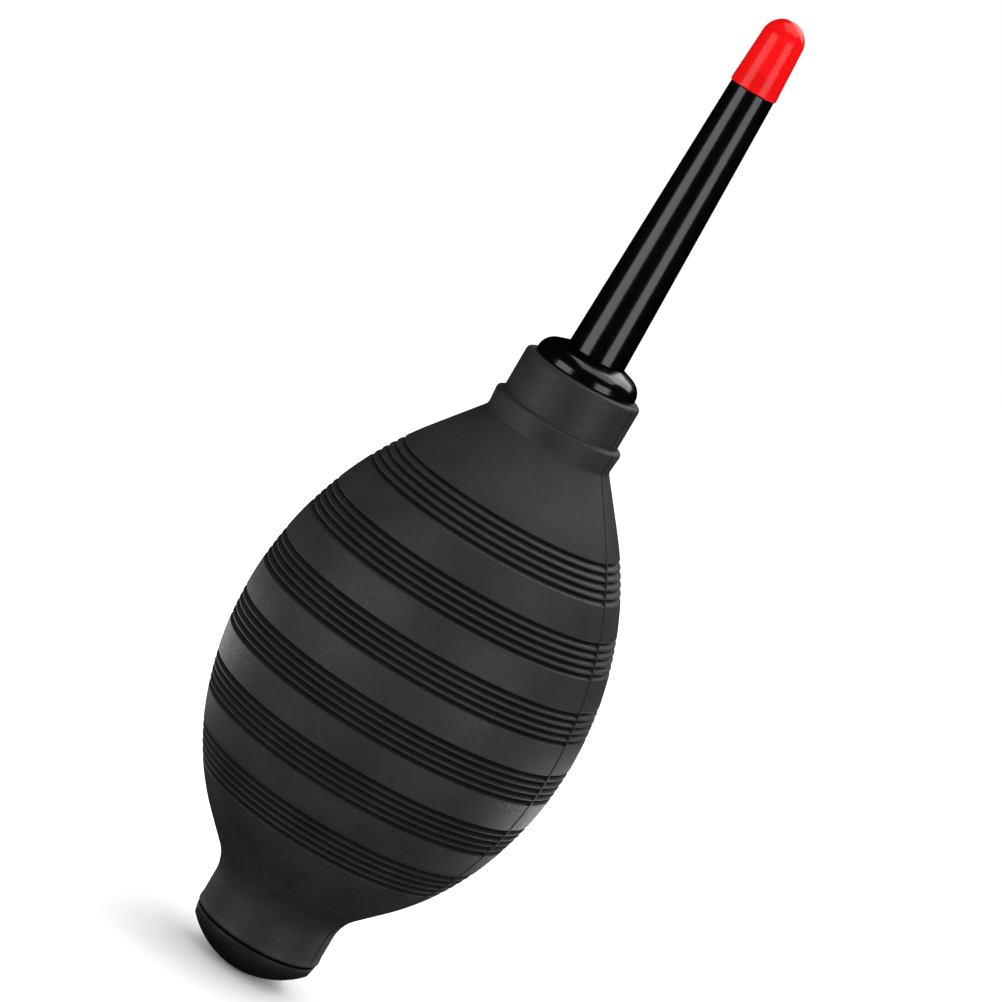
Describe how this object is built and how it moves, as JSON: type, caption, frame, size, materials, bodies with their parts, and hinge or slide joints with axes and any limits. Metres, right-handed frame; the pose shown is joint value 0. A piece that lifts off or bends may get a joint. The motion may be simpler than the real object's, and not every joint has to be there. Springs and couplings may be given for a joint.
{
  "type": "dust blower bulb",
  "caption": "Hand-squeezed ribbed rubber dust blower for watch work, with a valved foot plug, a valved nozzle base, a long tapered nozzle and a soft red tip.",
  "frame": {"origin": "middle of the foot's flat underside, the lowest point of the blower standing upright", "axes": "+Z along the bulb's axis towards the tip; +Y is the side that the thumb presses, -Y the side that the fingers press; the bulb's mould seam lies in the XZ plane"},
  "size_m": [0.0554, 0.0554, 0.1634],
  "materials": {
    "bulb_rubber": "moulded matte with a fine grain",
    "plug_plastic": "moulded satin",
    "nozzle_plastic": "moulded gloss",
    "tip_rubber": "soft dipped gloss",
    "valve_silicone": "smooth translucent",
    "valve_plastic": "moulded satin"
  },
  "bodies": {
    "root": {"bulb_shell": "bulb_rubber", "inlet_plug": "plug_plastic", "inlet_cage": "valve_plastic", "nozzle_base": "nozzle_plastic", "outlet_seat": "valve_plastic"},
    "thumb_side": {"thumb_wall": "bulb_rubber"},
    "finger_side": {"finger_wall": "bulb_rubber"},
    "inlet_valve": {"inlet_disc": "valve_silicone"},
    "outlet_valve": {"outlet_disc": "valve_silicone"},
    "nozzle": {"nozzle_tube": "nozzle_plastic"},
    "tip": {"nozzle_tip": "tip_rubber"}
  },
  "joints": [
    {"name": "thumb_squeeze", "type": "slide", "parent": "root", "child": "thumb_side", "axis": [0, -1, 0], "range_m": [0, 0.01], "stiffness_N_per_m": 1000, "deforming": ["thumb_wall"]},
    {"name": "finger_squeeze", "type": "slide", "parent": "root", "child": "finger_side", "axis": [0, 1, 0], "range_m": [0, 0.01], "stiffness_N_per_m": 1000, "deforming": ["finger_wall"]},
    {"name": "inlet_valve_lift", "type": "slide", "parent": "root", "child": "inlet_valve", "axis": [0, 0, 1], "range_m": [0, 0.0012]},
    {"name": "outlet_valve_lift", "type": "slide", "parent": "root", "child": "outlet_valve", "axis": [0, 0, 1], "range_m": [0, 0.0008]},
    {"name": "nozzle_pull", "type": "slide", "parent": "root", "child": "nozzle", "axis": [0, 0, 1], "range_m": [0, 0.01]},
    {"name": "tip_pull", "type": "slide", "parent": "nozzle", "child": "tip", "axis": [0, 0, 1], "range_m": [0, 0.009]}
  ],
  "couplings": [
    {"joint": "finger_squeeze", "follows": "thumb_squeeze", "ratio": 1}
  ]
}
